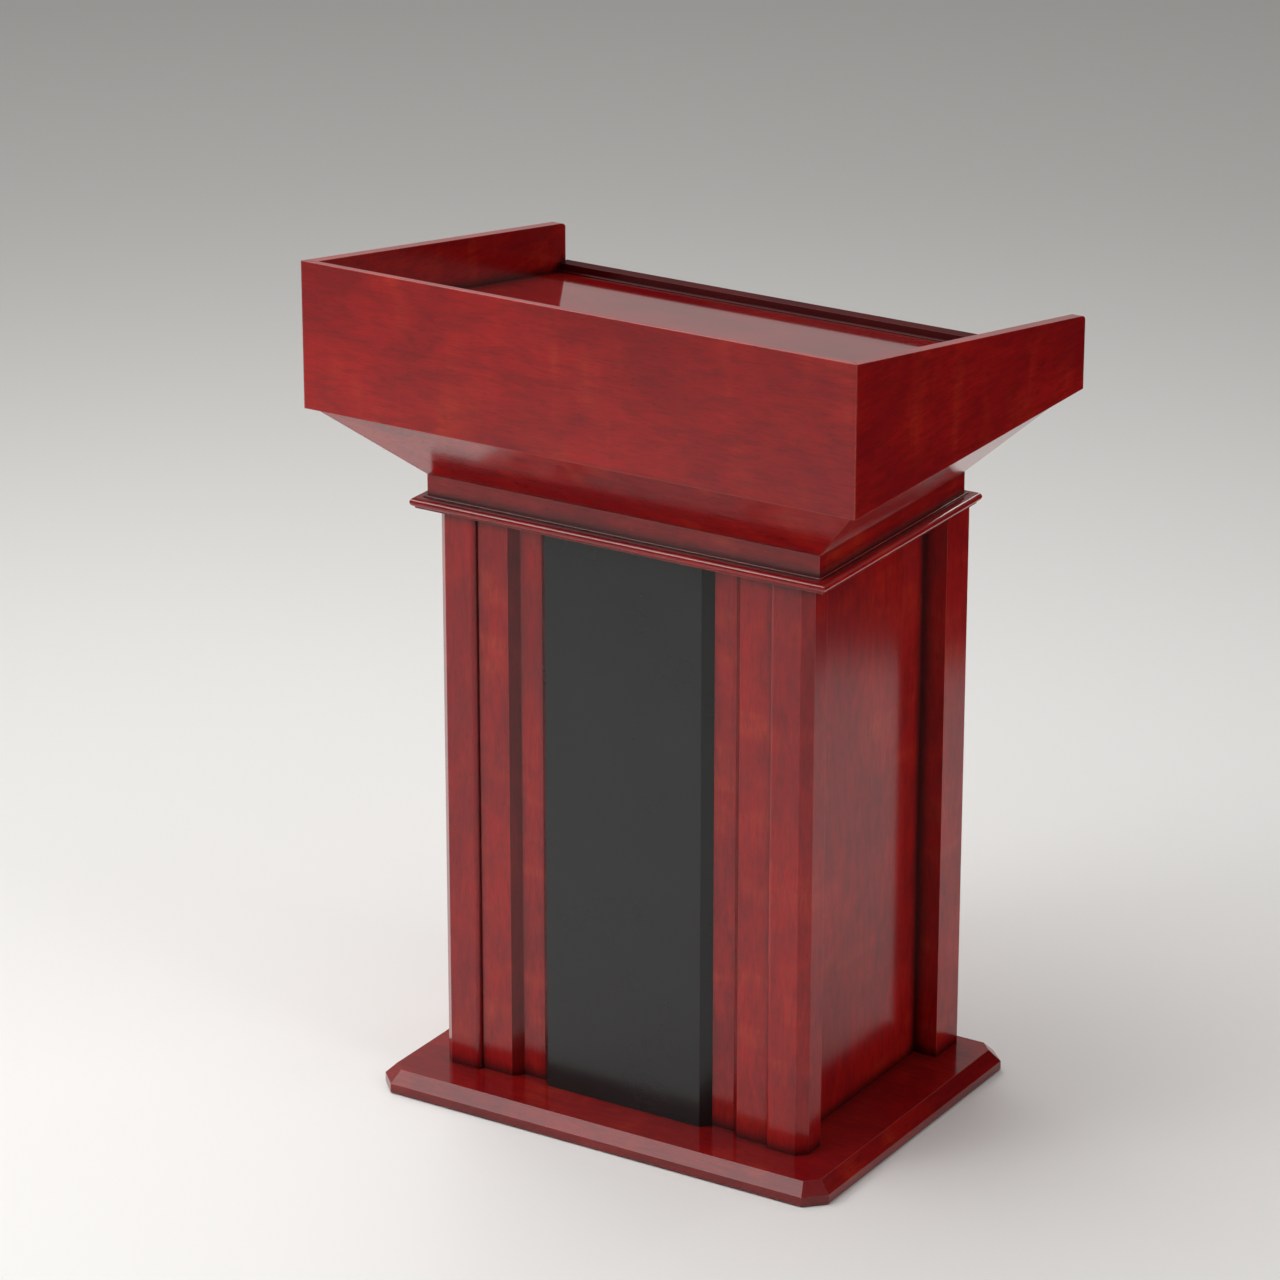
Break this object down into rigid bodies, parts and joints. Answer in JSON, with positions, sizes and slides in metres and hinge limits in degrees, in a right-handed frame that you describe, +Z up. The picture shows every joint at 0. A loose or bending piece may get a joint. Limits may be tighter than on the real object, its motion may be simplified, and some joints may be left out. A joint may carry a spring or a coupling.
{
  "type": "lectern",
  "caption": "Lacquered wooden speaking lectern: clipped plinth, stepped column with a black centre panel, flared head, sloping desk between wings, and a rear drawer and cupboard.",
  "frame": {"origin": "on the floor, under the middle of the plinth and of the tray", "axes": "+Z up; -Y towards the audience, which sees the black panel; +Y towards the speaker; X across the width"},
  "size_m": [0.78, 0.578, 1.12],
  "materials": {
    "mahogany": "red mahogany veneer under glossy lacquer",
    "desk_lacquer": "red mahogany veneer under mirror-gloss lacquer",
    "black_panel": "satin black laminate",
    "inner_wood": "sealed brown board",
    "steel": "zinc-plated",
    "brass": "lacquered brass",
    "plastic": "moulded black"
  },
  "bodies": {
    "lectern": {"base_plinth": "mahogany", "base_glides": "plastic", "base_screws": "steel", "front_post_left": "mahogany", "front_post_right": "mahogany", "rear_post_left": "mahogany", "rear_post_right": "mahogany", "front_panel": "mahogany", "front_stile_left": "mahogany", "front_stile_right": "mahogany", "centre_panel": "black_panel", "panel_screws": "steel", "side_panel_left": "mahogany", "side_panel_right": "mahogany", "cabinet_floor": "mahogany", "divider": "mahogany", "top_rail": "mahogany", "column_cap": "mahogany", "head_screws": "steel", "moulding": "mahogany", "neck_board": "mahogany", "neck_battens": "inner_wood", "flare_front": "mahogany", "flare_rear": "mahogany", "flare_left": "mahogany", "flare_right": "mahogany", "tray_battens": "inner_wood", "tray_screws": "steel", "tray_floor": "inner_wood", "tray_front": "mahogany", "wing_left": "mahogany", "wing_right": "mahogany", "desk_ribs": "inner_wood", "desk_board": "desk_lacquer", "back_lip": "mahogany", "shelf": "mahogany", "shelf_pins": "steel", "slide_spacers": "inner_wood", "slide_cabinet": "steel", "hinge_frame_leaves": "brass", "hinge_pins": "brass", "hinge_frame_screws": "steel", "catch_body": "plastic"},
    "drawer": {"drawer_front": "mahogany", "drawer_side_left": "inner_wood", "drawer_side_right": "inner_wood", "drawer_back": "inner_wood", "drawer_bottom": "inner_wood", "slide_drawer": "steel", "drawer_knobs": "brass", "drawer_knob_screws": "steel", "lock_housing": "steel"},
    "lock": {"lock_barrel": "steel", "lock_cam": "steel"},
    "door": {"door": "mahogany", "door_knob": "brass", "door_knob_screw": "steel", "catch_plate": "steel", "hinge_door_leaves": "brass", "hinge_door_screws": "steel"}
  },
  "joints": [
    {"name": "drawer_slide", "type": "slide", "parent": "lectern", "child": "drawer", "axis": [0, 1, 0], "range_m": [0, 0.25]},
    {"name": "lock_turn", "type": "hinge", "parent": "drawer", "child": "lock", "pos_m": [0, 0.2, 0.735], "axis": [0, 1, 0], "range_deg": [0, 90]},
    {"name": "door_hinge", "type": "hinge", "parent": "lectern", "child": "door", "pos_m": [0.2118, 0.2212, 0.333], "axis": [0, 0, -1], "range_deg": [0, 110]}
  ]
}
